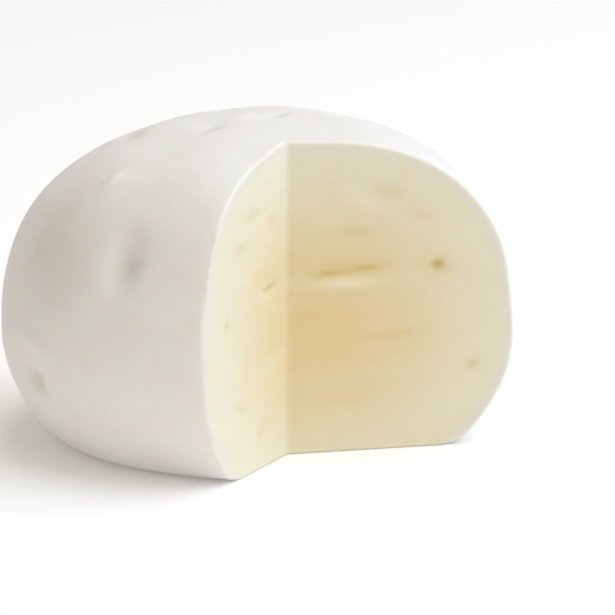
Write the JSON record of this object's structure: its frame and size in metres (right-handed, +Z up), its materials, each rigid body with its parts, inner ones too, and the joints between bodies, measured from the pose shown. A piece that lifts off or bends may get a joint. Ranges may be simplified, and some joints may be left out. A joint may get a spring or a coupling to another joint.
{
  "type": "ball of fresh cheese with a wedge cut out",
  "caption": "Flattened ball of soft white fresh cheese on a flat base, with a wide upright wedge cut out that shows two cream-coloured cut walls.",
  "frame": {"origin": "on the flat base, under the upright axis of the ball", "axes": "+Z up. The left wall of the cut runs towards -Y from the inner edge and faces +X; the right wall runs from the inner edge towards +X and +Y"},
  "size_m": [0.0659, 0.0673, 0.0424],
  "materials": {
    "cheese": "soft moist satin, pale skin and cream cut flesh"
  },
  "bodies": {
    "root": {"cheese_ball": "cheese"}
  },
  "joints": []
}
